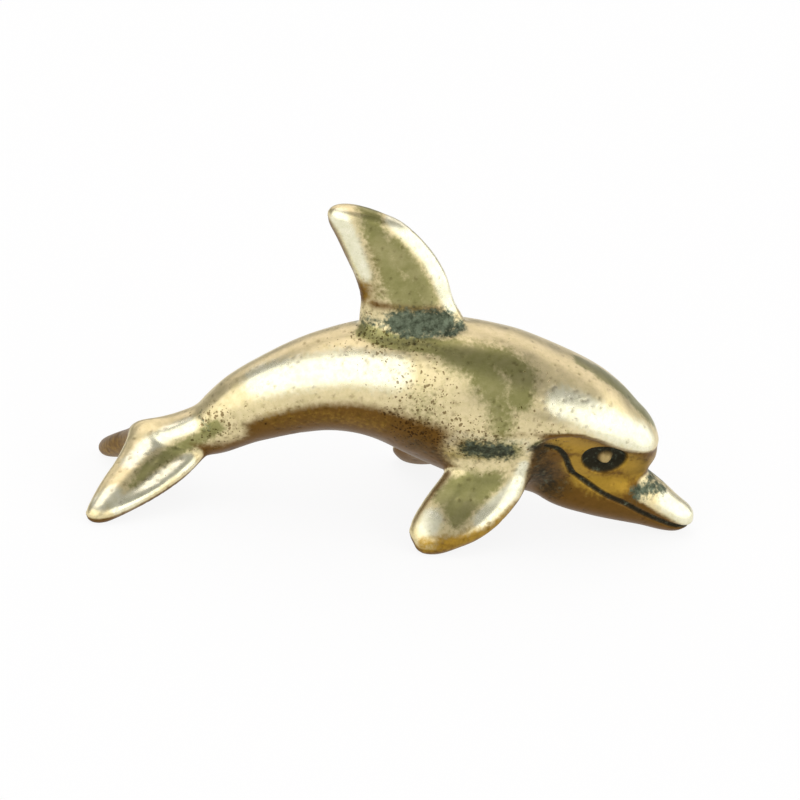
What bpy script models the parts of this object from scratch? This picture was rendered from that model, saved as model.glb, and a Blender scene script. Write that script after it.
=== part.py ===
"""Dolphin figurine: one solid brass casting that rests on its beak, its pectoral fins and its tail flukes.

+X runs from the tail to the beak, +Y is the dolphin's left and +Z is up. The origin is on the resting
plane, under the middle of the casting. Sizes are in millimetres until the finished mesh is scaled.
"""

import math

import bmesh
import bpy
from mathutils import Matrix, Vector
from mathutils.bvhtree import BVHTree

METRES_PER_MM = 0.001

# Body
TAIL_END_X = -21.3
BODY_LENGTH = 39.8
ARCH_HEIGHT = 11.7
BODY_DEPTH = 13.2
BODY_WIDTH = 11.6
FOREHEAD_BULGE = 2.85
FOREHEAD_TAPER = 24.0
TAIL_END_BULGE = 0.8

# Beak
BEAK_ROOT_SHARE = 0.82
BEAK_LENGTH = 13.0
BEAK_DEPTH = 6.0
BEAK_WIDTH = 5.8
BEAK_TIP_BULGE = 1.2
BEAK_TIP_TAPER = 22.0

# Dorsal fin
DORSAL_SHARE = 0.528
DORSAL_HEIGHT = 9.4
DORSAL_CHORD = 8.4
DORSAL_THICKNESS = 3.0

# Pectoral fins
PECTORAL_TIP_SHARE = 0.6
RIGHT_PECTORAL_STANCE = 8.3
LEFT_PECTORAL_STANCE = 9.5
LEFT_PECTORAL_SETBACK = 0.7
PECTORAL_CHORD = 7.0
PECTORAL_THICKNESS = 2.9
PECTORAL_VALLEY = (0.17, 0.05, 0.45)

# Tail flukes
RIGHT_FLUKE_STANCE = 7.3
RIGHT_FLUKE_CHORD = 6.7
LEFT_FLUKE_STANCE = 5.5
LEFT_FLUKE_CHORD = 5.1
FLUKE_THICKNESS = 2.2
FLUKE_VALLEY = (0.24, 0.32, 0.36)
NOTCH_SETBACK = 0.7

# The power of the fins' outline across, where 2 is an ellipse and more is a slab with rounded edges
BLADE_ROUNDNESS = 2.1
BLADE_TIP_TAPER = 42.0

# Eyes and mouth
EYE_SHARE = 0.948
EYE_RISE = 0.72
EYE_TILT = -9.0
EYE_SOCKET_LENGTH = 3.9
EYE_SOCKET_HEIGHT = 3.2
EYE_SOCKET_DEPTH = 0.6
EYE_BEAD_RADIUS = 0.7
EYE_BEAD_AHEAD = 0.25
EYE_BEAD_DROP = 0.18
MOUTH_GROOVE_RADIUS = 0.27
MOUTH_TIP_HEIGHT = 0.8

# How far the feet reach below the resting plane before they are filed flat
FILED_OFF = 0.2

# How finely the skins are melted together, and how soft their fillets are
SKIN_GRAIN = 0.22
FILLET_RADIUS = 0.5
SKIN_TRIANGLES = 9000

# Shares of the body's length, arch height, depth and width, then the height of the widest line as a share
# of the half depth, the power of the lower half's curve, where 2 is an ellipse and less is a keel, and how
# far the cheek draws in under the widest line, as a share of the half width
BODY_STATIONS = (
    (0.000, 0.400, 0.129, 0.241, 0.00, 2.0, 0.00),
    (0.048, 0.420, 0.182, 0.310, 0.00, 2.0, 0.00),
    (0.098, 0.448, 0.265, 0.345, 0.00, 2.0, 0.00),
    (0.151, 0.503, 0.364, 0.380, 0.00, 2.0, 0.00),
    (0.219, 0.678, 0.471, 0.466, 0.00, 2.0, 0.00),
    (0.303, 0.836, 0.561, 0.569, 0.00, 2.0, 0.00),
    (0.383, 0.940, 0.645, 0.672, 0.00, 2.0, 0.00),
    (0.477, 0.990, 0.758, 0.793, 0.00, 2.0, 0.00),
    (0.582, 0.964, 0.910, 0.914, 0.00, 2.0, 0.00),
    (0.699, 0.880, 0.998, 1.000, 0.05, 1.95, 0.00),
    (0.796, 0.785, 0.980, 1.010, 0.22, 1.75, 0.04),
    (0.891, 0.677, 0.920, 0.930, 0.40, 1.55, 0.12),
    (0.962, 0.583, 0.795, 0.785, 0.46, 1.50, 0.14),
    (1.000, 0.540, 0.705, 0.650, 0.47, 1.50, 0.14),
)

# Shares of the beak's length, of its depth for the centre's height and the depth, and of its width
BEAK_STATIONS = (
    (0.000, 0.990, 0.900, 0.850),
    (0.220, 0.800, 1.060, 1.030),
    (0.460, 0.645, 0.985, 1.060),
    (0.635, 0.520, 0.865, 0.940),
    (0.775, 0.405, 0.730, 0.790),
    (0.900, 0.283, 0.590, 0.650),
    (1.000, 0.205, 0.470, 0.540),
)

# Each blade station is the leading edge, then the trailing edge, each as shares of chord and span, and the
# share of the thickness
DORSAL_STATIONS = (
    (0.72, -0.27, -0.42, -0.40, 1.75),
    (0.55, 0.02, -0.49, -0.04, 1.28),
    (0.40, 0.23, -0.50, 0.15, 1.08),
    (0.30, 0.45, -0.58, 0.34, 0.98),
    (0.11, 0.68, -0.70, 0.53, 0.92),
    (-0.16, 0.88, -0.82, 0.72, 0.88),
    (-0.40, 0.96, -0.90, 0.83, 0.84),
    (-0.54, 0.99, -0.91, 0.88, 0.78),
)
PECTORAL_STATIONS = (
    (1.36, 0.88, 0.43, 0.88, 2.20),
    (1.26, 0.69, 0.30, 0.69, 1.70),
    (1.18, 0.52, 0.12, 0.52, 1.16),
    (1.03, 0.37, -0.05, 0.37, 0.94),
    (0.84, 0.23, -0.18, 0.23, 0.86),
    (0.60, 0.115, -0.215, 0.125, 0.80),
    (0.36, 0.050, -0.15, 0.060, 0.72),
)
FLUKE_STATIONS = (
    (1.12, -0.10, 0.03, -0.10, 1.20),
    (0.97, 0.18, -0.05, 0.12, 1.15),
    (0.75, 0.43, -0.15, 0.34, 1.08),
    (0.44, 0.68, -0.29, 0.57, 1.00),
    (0.10, 0.89, -0.40, 0.79, 0.92),
    (-0.14, 1.02, -0.46, 0.94, 0.80),
)

# The mouth line, from the corner behind the eye towards the beak's tip: how far behind the tip as a share
# of the beak's length, and how high as a share of its depth
MOUTH_LINE = (
    (1.077, 1.517),
    (0.992, 1.458),
    (0.931, 1.300),
    (0.888, 1.100),
    (0.846, 0.967),
    (0.746, 0.833),
    (0.623, 0.683),
    (0.485, 0.550),
    (0.338, 0.367),
    (0.185, 0.208),
    (0.123, 0.167),
)

# Fineness of the lofts
RING_POINTS = 48
RINGS_PER_STATION = 6
DOME_RINGS = 7


def catmull_rom(rows, t):
    """The row at t, from 0 to the last row's index, on a smooth curve through all rows."""
    last = len(rows) - 1
    i = min(int(t), last - 1)
    f = t - i
    a, b, c, d = (rows[min(max(k, 0), last)] for k in (i - 1, i, i + 1, i + 2))
    return [
        0.5 * (2 * q + (r - p) * f + (2 * p - 5 * q + 4 * r - s) * f**2 + (3 * q - p - 3 * r + s) * f**3)
        for p, q, r, s in zip(a, b, c, d)
    ]


def filled_in(rows):
    """The station rows with smooth rows between them."""
    steps = (len(rows) - 1) * RINGS_PER_STATION
    return [catmull_rom(rows, k / RINGS_PER_STATION) for k in range(steps + 1)]


def power_curve(angle, power):
    """A point on the unit superellipse of that power."""
    c, s = math.cos(angle), math.sin(angle)
    return math.copysign(abs(c) ** (2 / power), c), math.copysign(abs(s) ** (2 / power), s)


def ring_angles():
    return [2 * math.pi * k / RING_POINTS for k in range(RING_POINTS)]


def domed_end(ring, outwards, taper):
    """Rings that close a loft with a dome as long as outwards, which starts at that angle of taper."""
    centre = sum(ring, Vector()) / len(ring)
    rings = []
    for k in range(1, DOME_RINGS):
        turn = taper + (0.5 * math.pi - taper) * k / DOME_RINGS
        moved = centre + outwards * (math.sin(turn) - math.sin(taper)) / (1 - math.sin(taper))
        rings.append([moved + (p - centre) * math.cos(turn) / math.cos(taper) for p in ring])
    return rings, centre + outwards


def loft(rings, start_dome, end_dome, end_taper=0.0):
    """A closed skin through the rings, with a dome on each end."""
    first_rings, first_pole = domed_end(rings[0], start_dome, 0.0)
    last_rings, last_pole = domed_end(rings[-1], end_dome, end_taper)
    rings = first_rings[::-1] + rings + last_rings
    skin = bmesh.new()
    loops = [[skin.verts.new(p) for p in ring] for ring in rings]
    for one, two in zip(loops, loops[1:]):
        for k in range(RING_POINTS):
            after = (k + 1) % RING_POINTS
            skin.faces.new((one[k], one[after], two[after], two[k]))
    for pole, loop in ((first_pole, loops[0]), (last_pole, loops[-1])):
        tip = skin.verts.new(pole)
        for k in range(RING_POINTS):
            skin.faces.new((tip, loop[k], loop[(k + 1) % RING_POINTS]))
    bmesh.ops.recalc_face_normals(skin, faces=skin.faces)
    mesh = bpy.data.meshes.new("skin")
    skin.to_mesh(mesh)
    skin.free()
    return mesh


def body_rows():
    """(x, z, half depth, half width, widest line, lower power, cheek) along the body, in millimetres."""
    rows = [
        (
            TAIL_END_X + BODY_LENGTH * along,
            ARCH_HEIGHT * rise,
            BODY_DEPTH * depth / 2,
            BODY_WIDTH * width / 2,
            widest,
            power,
            cheek,
        )
        for along, rise, depth, width, widest, power, cheek in BODY_STATIONS
    ]
    return filled_in(rows)


def body_at(share):
    """The body's row nearest to that share of its length."""
    x = TAIL_END_X + BODY_LENGTH * share
    return min(body_rows(), key=lambda row: abs(row[0] - x))


def along_path(rows, k):
    """The direction of the line through the rows' x and z, at row k."""
    a, b = rows[max(k - 1, 0)], rows[min(k + 1, len(rows) - 1)]
    return Vector((b[0] - a[0], 0, b[1] - a[1])).normalized()


def body_skin():
    rows = body_rows()
    rings = []
    for k, (x, z, half_depth, half_width, widest, lower_power, cheek) in enumerate(rows):
        forward = along_path(rows, k)
        upward = Vector((-forward.z, 0, forward.x))
        ring = []
        for angle in ring_angles():
            side, rise = power_curve(angle, 2.1 if angle <= math.pi else lower_power)
            reach = half_depth * (1 - widest if rise > 0 else 1 + widest)
            side *= 1 - cheek * min(1.0, max(0.0, -rise) / 0.15)
            ring.append(
                Vector((x, 0, z))
                + upward * (half_depth * widest + rise * reach)
                + Vector((0, half_width * side, 0))
            )
        rings.append(ring)
    tail_out = -along_path(rows, 0) * TAIL_END_BULGE
    head_out = along_path(rows, len(rows) - 1) * FOREHEAD_BULGE
    return loft(rings, tail_out, head_out, math.radians(FOREHEAD_TAPER))


def beak_root_x():
    return TAIL_END_X + BODY_LENGTH * BEAK_ROOT_SHARE


def beak_tip_x():
    return beak_root_x() + BEAK_LENGTH + BEAK_TIP_BULGE


def beak_skin():
    rows = filled_in(
        [
            (
                beak_root_x() + BEAK_LENGTH * along,
                BEAK_DEPTH * rise,
                BEAK_DEPTH * depth / 2,
                BEAK_WIDTH * width / 2,
            )
            for along, rise, depth, width in BEAK_STATIONS
        ]
    )
    rings = []
    for k, (x, z, half_depth, half_width) in enumerate(rows):
        forward = along_path(rows, k)
        upward = Vector((-forward.z, 0, forward.x))
        rings.append(
            [
                Vector((x, half_width * side, z)) + upward * half_depth * rise
                for side, rise in (power_curve(angle, 2.3) for angle in ring_angles())
            ]
        )
    root_out = Vector((-1, 0, 0)) * BEAK_TIP_BULGE
    tip_out = Vector((1, 0, -0.17)) * BEAK_TIP_BULGE
    return loft(rings, root_out, tip_out, math.radians(BEAK_TIP_TAPER))


def blade_skin(base, chord, span, outwards, stations, thickness, valley=(0.0, 0.0, 1.0)):
    """A fin from a leading to a trailing edge, with a valley of that depth, place and reach outwards."""
    hollow, valley_place, valley_reach = valley
    rows = filled_in(stations)
    rings = []
    for k, (lead_u, lead_v, trail_u, trail_v, share) in enumerate(rows):
        lead = base + chord * lead_u + span * lead_v
        trail = base + chord * trail_u + span * trail_v
        centre, half_chord = (lead + trail) / 2, (lead - trail) / 2
        fade = min(1.0, 2.2 * (1 - k / (len(rows) - 1)))
        ring = []
        for angle in ring_angles():
            along, rise = power_curve(angle, BLADE_ROUNDNESS)
            reach = rise * thickness * share / 2
            if rise > 0:
                reach -= thickness * hollow * fade * math.exp(-(((along - valley_place) / valley_reach) ** 2))
            ring.append(centre + half_chord * along + outwards * reach)
        rings.append(ring)
    tip_out = (sum(rings[-1], Vector()) - sum(rings[-3], Vector())).normalized()
    root_out = (sum(rings[0], Vector()) - sum(rings[2], Vector())).normalized()
    tip_bulge = tip_out * thickness * stations[-1][-1] / 2
    return loft(rings, root_out * thickness / 4, tip_bulge, math.radians(BLADE_TIP_TAPER))


def dorsal_skin():
    x, z, half_depth = body_at(DORSAL_SHARE)[:3]
    return blade_skin(
        Vector((x, 0, z + half_depth)),
        Vector((DORSAL_CHORD, 0, 0)),
        Vector((0, 0, DORSAL_HEIGHT)),
        Vector((0, -1, 0)),
        DORSAL_STATIONS,
        DORSAL_THICKNESS,
    )


def pectoral_skin(side):
    """side is -1 for the dolphin's right fin and 1 for its left."""
    tip_x, stance = body_at(PECTORAL_TIP_SHARE)[0], RIGHT_PECTORAL_STANCE
    if side > 0:
        tip_x, stance = tip_x - LEFT_PECTORAL_SETBACK, LEFT_PECTORAL_STANCE
    tip = Vector((tip_x, side * stance, PECTORAL_THICKNESS * 0.12 - FILED_OFF))
    shoulder = body_at(PECTORAL_TIP_SHARE + PECTORAL_CHORD / BODY_LENGTH)
    span = Vector((0, -side * stance, shoulder[1] - tip.z))
    outwards = Vector((0, side * span.z, -side * span.y)).normalized()
    chord = Vector((PECTORAL_CHORD, 0, 0))
    return blade_skin(tip, chord, span, outwards, PECTORAL_STATIONS, PECTORAL_THICKNESS, PECTORAL_VALLEY)


def fluke_skin(side):
    tail_x, tail_z = body_at(0)[:2]
    notch = Vector((tail_x - NOTCH_SETBACK, 0, tail_z))
    stance, chord = RIGHT_FLUKE_STANCE, RIGHT_FLUKE_CHORD
    if side > 0:
        stance, chord = LEFT_FLUKE_STANCE, LEFT_FLUKE_CHORD
    span = Vector((0, side * stance, FLUKE_THICKNESS * 0.3 - FILED_OFF - tail_z))
    outwards = Vector((0, -side * span.z, side * span.y)).normalized()
    chord_line = Vector((chord, 0, 0))
    return blade_skin(notch, chord_line, span, outwards, FLUKE_STATIONS, FLUKE_THICKNESS, FLUKE_VALLEY)


def new_object(name, mesh, collection):
    made = bpy.data.objects.new(name, mesh)
    collection.objects.link(made)
    return made


def apply_modifiers(target):
    """Keeps the shape that the modifiers give, as the object's own mesh."""
    bpy.context.view_layer.update()
    shown = target.evaluated_get(bpy.context.evaluated_depsgraph_get())
    mesh = bpy.data.meshes.new_from_object(shown)
    target.modifiers.clear()
    target.data = mesh


def melted_casting(collection):
    """All skins melted into one solid, with soft fillets where they meet."""
    skins = [body_skin(), beak_skin(), dorsal_skin()]
    for side in (-1, 1):
        skins += [pectoral_skin(side), fluke_skin(side)]
    joined = bmesh.new()
    for skin in skins:
        joined.from_mesh(skin)
        bpy.data.meshes.remove(skin)
    mesh = bpy.data.meshes.new("dolphin_casting")
    joined.to_mesh(mesh)
    joined.free()
    casting = new_object("dolphin_casting", mesh, collection)
    melt = casting.modifiers.new("melt_skins", "REMESH")
    melt.mode = "VOXEL"
    melt.voxel_size = SKIN_GRAIN
    soften = casting.modifiers.new("fillets", "SMOOTH")
    soften.factor = 0.5
    soften.iterations = round(2 * (FILLET_RADIUS / SKIN_GRAIN) ** 2)
    apply_modifiers(casting)
    return casting


def side_hit(surface, side, x, z):
    """Where a level line from that side first meets the casting, and the surface's normal there."""
    far_out = BODY_WIDTH * 2
    point, normal, _, _ = surface.ray_cast(Vector((x, side * far_out, z)), Vector((0, -side, 0)))
    return point, normal


def mouth_cutter(surface, collection):
    """A bent rod whose inner half lies in the skin, from one mouth corner round the beak to the other."""
    mouth = [(BEAK_LENGTH * behind, BEAK_DEPTH * rise) for behind, rise in MOUTH_LINE]
    steps = (len(mouth) - 1) * 3
    line = [catmull_rom(mouth, k / 3) for k in range(steps + 1)]
    right = []
    for behind, rise in line:
        point, _ = side_hit(surface, -1, beak_tip_x() - behind, rise)
        if point is not None:
            right.append(point)
    behind, rise = mouth[-1]
    for k in range(1, 5):
        turn = 0.5 * math.pi * k / 5
        inwards = Vector((-math.sin(turn), math.cos(turn), 0))
        height = rise + (MOUTH_TIP_HEIGHT - rise) * math.sin(turn)
        start = Vector((beak_tip_x() - behind, 0, height)) - inwards * BODY_WIDTH
        right.append(surface.ray_cast(start, inwards)[0])
    front = surface.ray_cast(Vector((beak_tip_x() + BODY_WIDTH, 0, MOUTH_TIP_HEIGHT)), Vector((-1, 0, 0)))[0]
    left = [Vector((p.x, -p.y, p.z)) for p in reversed(right)]
    points = right + [front] + left
    curve = bpy.data.curves.new("mouth_cutter", "CURVE")
    curve.dimensions = "3D"
    curve.bevel_depth = MOUTH_GROOVE_RADIUS
    curve.bevel_resolution = 1
    curve.use_fill_caps = True
    spline = curve.splines.new("POLY")
    spline.points.add(len(points) - 1)
    for slot, point in zip(spline.points, points):
        slot.co = (*point, 1)
        slot.radius = 1.0 if point.x < beak_tip_x() - behind else 0.75
    return curve_as_mesh("mouth_cutter", curve, collection)


def curve_as_mesh(name, curve, collection):
    drawn = new_object(name + "_curve", curve, collection)
    bpy.context.view_layer.update()
    mesh = bpy.data.meshes.new_from_object(drawn.evaluated_get(bpy.context.evaluated_depsgraph_get()))
    bpy.data.objects.remove(drawn)
    tidy = bmesh.new()
    tidy.from_mesh(mesh)
    bmesh.ops.remove_doubles(tidy, verts=tidy.verts, dist=0.0001)
    bmesh.ops.recalc_face_normals(tidy, faces=tidy.faces)
    tidy.to_mesh(mesh)
    tidy.free()
    return new_object(name, mesh, collection)


def pebble(name, size, sharpness, place, collection):
    """An ellipsoid of those three diameters, drawn in towards its two long ends by that power."""
    mesh = bpy.data.meshes.new(name)
    shape = bmesh.new()
    bmesh.ops.create_uvsphere(shape, u_segments=24, v_segments=12, radius=0.5)
    for v in shape.verts:
        v.co.y *= max(0.0, 1 - 4 * v.co.x**2) ** sharpness
    bmesh.ops.scale(shape, vec=size, verts=shape.verts)
    bmesh.ops.transform(shape, matrix=place, verts=shape.verts)
    shape.to_mesh(mesh)
    shape.free()
    return new_object(name, mesh, collection)


def eye_place(surface, side):
    x = TAIL_END_X + BODY_LENGTH * EYE_SHARE
    z = body_at(EYE_SHARE)[1] + EYE_RISE
    point, normal = side_hit(surface, side, x, z)
    outwards = normal.normalized()
    along = (Vector((1, 0, math.tan(math.radians(EYE_TILT)))) - outwards * outwards.x).normalized()
    along = (along - outwards * along.dot(outwards)).normalized()
    across = outwards.cross(along)
    frame = Matrix((along, across, outwards)).transposed().to_4x4()
    return Matrix.Translation(point) @ frame


def eye_cutter(surface, side, collection):
    size = (EYE_SOCKET_LENGTH, EYE_SOCKET_HEIGHT, EYE_SOCKET_DEPTH * 2)
    return pebble("socket_cutter", size, 0.15, eye_place(surface, side), collection)


def eye_bead(surface, side, collection):
    offset = (EYE_BEAD_AHEAD, side * EYE_BEAD_DROP, -EYE_SOCKET_DEPTH * 0.8)
    place = eye_place(surface, side) @ Matrix.Translation(offset)
    size = (EYE_BEAD_RADIUS * 2,) * 3
    return pebble("bead", size, 0.0, place, collection)


def cut_or_join(target, tool, operation):
    step = target.modifiers.new(tool.name, "BOOLEAN")
    step.operation = operation
    step.object = tool
    step.solver = "EXACT"
    apply_modifiers(target)
    bpy.data.objects.remove(tool)


def thin_out(casting, triangles):
    """Fewer triangles, where the surface is nearly flat."""
    casting.data.calc_loop_triangles()
    thin = casting.modifiers.new("thin_out", "DECIMATE")
    thin.ratio = min(1.0, triangles / len(casting.data.loop_triangles))
    apply_modifiers(casting)


def bench_cutter(collection):
    """The bench under the figurine: a block whose top is the resting plane."""
    mesh = bpy.data.meshes.new("bench_cutter")
    block = bmesh.new()
    bmesh.ops.create_cube(block, size=1.0)
    span = BODY_LENGTH * 4
    bmesh.ops.transform(
        block,
        matrix=Matrix.Translation((0, 0, -span / 2)) @ Matrix.Scale(span, 4),
        verts=block.verts,
    )
    block.to_mesh(mesh)
    block.free()
    return new_object("bench_cutter", mesh, collection)


def stand_on_origin(casting):
    """Centres the casting over the origin and turns millimetres into metres."""
    xs = [v.co.x for v in casting.data.vertices]
    ys = [v.co.y for v in casting.data.vertices]
    middle = Vector((min(xs) + max(xs), min(ys) + max(ys), 0)) / 2
    casting.data.transform(Matrix.Translation(-middle))
    casting.data.transform(Matrix.Scale(METRES_PER_MM, 4))


def brass():
    material = bpy.data.materials.new("brass")
    material.use_nodes = True
    shader = material.node_tree.nodes["Principled BSDF"]
    shader.inputs["Base Color"].default_value = (0.78, 0.62, 0.32, 1)
    shader.inputs["Metallic"].default_value = 1.0
    shader.inputs["Roughness"].default_value = 0.3
    return material


def main():
    for old in list(bpy.data.objects):
        bpy.data.objects.remove(old)
    figurine = bpy.data.collections.new("dolphin_figurine")
    cutters = bpy.data.collections.new("cutters")
    cutters.hide_render = True
    for group in (figurine, cutters):
        bpy.context.scene.collection.children.link(group)
    casting = melted_casting(figurine)
    surface = BVHTree.FromObject(casting, bpy.context.evaluated_depsgraph_get())
    thin_out(casting, SKIN_TRIANGLES)
    cut_or_join(casting, mouth_cutter(surface, cutters), "DIFFERENCE")
    for side in (-1, 1):
        cut_or_join(casting, eye_cutter(surface, side, cutters), "DIFFERENCE")
        cut_or_join(casting, eye_bead(surface, side, cutters), "UNION")
    cut_or_join(casting, bench_cutter(cutters), "DIFFERENCE")
    stand_on_origin(casting)
    casting.data.materials.clear()
    casting.data.materials.append(brass())
    casting.data.shade_smooth()


if __name__ == "__main__":
    main()
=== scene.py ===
"""Antique brass dolphin figurine: the fine casting, its hand finish and the stage that it is shown on."""

import math

import bmesh
import bpy
import numpy as np
from mathutils import Matrix, Vector
from mathutils.bvhtree import BVHTree


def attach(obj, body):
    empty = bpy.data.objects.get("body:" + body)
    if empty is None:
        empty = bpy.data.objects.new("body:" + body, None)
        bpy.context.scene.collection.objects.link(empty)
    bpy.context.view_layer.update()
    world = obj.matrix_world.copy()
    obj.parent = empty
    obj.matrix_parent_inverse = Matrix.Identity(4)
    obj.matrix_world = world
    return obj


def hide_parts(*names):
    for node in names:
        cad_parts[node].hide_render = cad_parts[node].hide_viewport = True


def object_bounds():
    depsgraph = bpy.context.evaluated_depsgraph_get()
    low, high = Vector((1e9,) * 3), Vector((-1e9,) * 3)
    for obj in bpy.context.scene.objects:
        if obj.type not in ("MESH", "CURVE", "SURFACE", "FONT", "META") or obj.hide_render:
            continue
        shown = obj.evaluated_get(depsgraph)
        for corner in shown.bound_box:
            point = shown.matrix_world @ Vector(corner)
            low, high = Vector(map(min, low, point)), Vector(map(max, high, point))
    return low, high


bl_info = {
    "name": "Brass Dolphin Figurine",
    "version": (1, 0, 0),
    "blender": (4, 5, 0),
    "location": "View3D > Sidebar > Dolphin",
    "description": "Builds the fine casting of a small brass dolphin, its finish and its stage",
    "category": "Object",
}

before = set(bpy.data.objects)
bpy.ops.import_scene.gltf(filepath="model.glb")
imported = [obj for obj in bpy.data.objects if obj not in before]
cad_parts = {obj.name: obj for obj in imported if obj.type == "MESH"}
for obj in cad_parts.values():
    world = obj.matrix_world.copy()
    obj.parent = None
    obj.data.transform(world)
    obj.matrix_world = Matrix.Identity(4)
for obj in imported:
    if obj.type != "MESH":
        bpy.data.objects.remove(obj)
CAD_BOX = [list(corner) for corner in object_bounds()]
MM = 0.001
CASTING_NODE = "dolphin_casting"

# Shares of the body's length, arch height, depth and width, then the height of the widest line as a share
# of the half depth, the power of the lower half's curve, and how far the cheek draws in under that line
BODY_STATIONS = (
    (0.000, 0.400, 0.129, 0.241, 0.00, 2.0, 0.00),
    (0.048, 0.420, 0.182, 0.310, 0.00, 2.0, 0.00),
    (0.098, 0.448, 0.265, 0.345, 0.00, 2.0, 0.00),
    (0.151, 0.503, 0.364, 0.380, 0.00, 2.0, 0.00),
    (0.219, 0.678, 0.471, 0.466, 0.00, 2.0, 0.00),
    (0.303, 0.836, 0.561, 0.569, 0.00, 2.0, 0.00),
    (0.383, 0.940, 0.645, 0.672, 0.00, 2.0, 0.00),
    (0.477, 0.990, 0.758, 0.793, 0.00, 2.0, 0.00),
    (0.582, 0.964, 0.910, 0.914, 0.00, 2.0, 0.00),
    (0.699, 0.880, 0.998, 1.000, 0.05, 1.95, 0.00),
    (0.796, 0.785, 0.980, 1.010, 0.22, 1.75, 0.04),
    (0.891, 0.677, 0.920, 0.930, 0.40, 1.55, 0.12),
    (0.962, 0.583, 0.795, 0.785, 0.46, 1.50, 0.14),
    (1.000, 0.540, 0.705, 0.650, 0.47, 1.50, 0.14),
)

# Shares of the beak's length, of its depth for the centre's height and the depth, and of its width
BEAK_STATIONS = (
    (0.000, 0.990, 0.900, 0.850),
    (0.220, 0.800, 1.060, 1.030),
    (0.460, 0.645, 0.985, 1.060),
    (0.635, 0.520, 0.865, 0.940),
    (0.775, 0.405, 0.730, 0.790),
    (0.900, 0.283, 0.590, 0.650),
    (1.000, 0.205, 0.470, 0.540),
)

# Leading edge, trailing edge, each as shares of chord and span, and the share of the thickness
DORSAL_STATIONS = (
    (0.72, -0.27, -0.42, -0.40, 1.75),
    (0.55, 0.02, -0.49, -0.04, 1.28),
    (0.40, 0.23, -0.50, 0.15, 1.08),
    (0.30, 0.45, -0.58, 0.34, 0.98),
    (0.11, 0.68, -0.70, 0.53, 0.92),
    (-0.16, 0.88, -0.82, 0.72, 0.88),
    (-0.40, 0.96, -0.90, 0.83, 0.84),
    (-0.54, 0.99, -0.91, 0.88, 0.78),
)
PECTORAL_STATIONS = (
    (1.36, 0.88, 0.43, 0.88, 2.20),
    (1.26, 0.69, 0.30, 0.69, 1.70),
    (1.18, 0.52, 0.12, 0.52, 1.16),
    (1.03, 0.37, -0.05, 0.37, 0.94),
    (0.84, 0.23, -0.18, 0.23, 0.86),
    (0.60, 0.115, -0.215, 0.125, 0.80),
    (0.36, 0.050, -0.15, 0.060, 0.72),
)
FLUKE_STATIONS = (
    (1.12, -0.10, 0.03, -0.10, 1.20),
    (0.97, 0.18, -0.05, 0.12, 1.15),
    (0.75, 0.43, -0.15, 0.34, 1.08),
    (0.44, 0.68, -0.29, 0.57, 1.00),
    (0.10, 0.89, -0.40, 0.79, 0.92),
    (-0.14, 1.02, -0.46, 0.94, 0.80),
)

# The mouth line: how far behind the beak's tip and how high, both in millimetres
MOUTH_LINE = (
    (14.00, 9.10),
    (12.90, 8.75),
    (12.10, 7.80),
    (11.55, 6.60),
    (11.00, 5.80),
    (9.70, 5.00),
    (8.10, 4.10),
    (6.30, 3.30),
    (4.40, 2.20),
    (2.40, 1.25),
    (1.60, 1.00),
)
MOUTH_TIP_HEIGHT = 0.80

# Lines on the right side of the finished casting, in millimetres from its middle, for the corners that were
# filled and the brass that was aged by hand, and for painted highlights, painted reflections and painted
# shade. Each has a reach and a strength, and the left side is its mirror image.
DORSAL_ROOT = ((-4.2, -1.2, 16.1), (-2.9, -2.3, 16.1), (-1.3, -2.8, 16.1), (1.0, -3.0, 16.3),
               (3.0, -3.3, 16.1))
# Corners that were filled: the roots of the pectoral fin, the fluke and the dorsal fin
ROOT_FILLETS = (
    (2.2, 1.0, ((4.2, -5.0, 7.4), (9.8, -4.9, 7.4))),
    (2.4, 1.0, ((-13.5, -2.4, 6.2), (-17.0, -2.2, 4.6), (-19.5, -1.6, 4.6))),
    (1.1, 0.8, ((-3.6, -1.6, 16.7), (2.9, -1.5, 17.1))),
)
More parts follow.
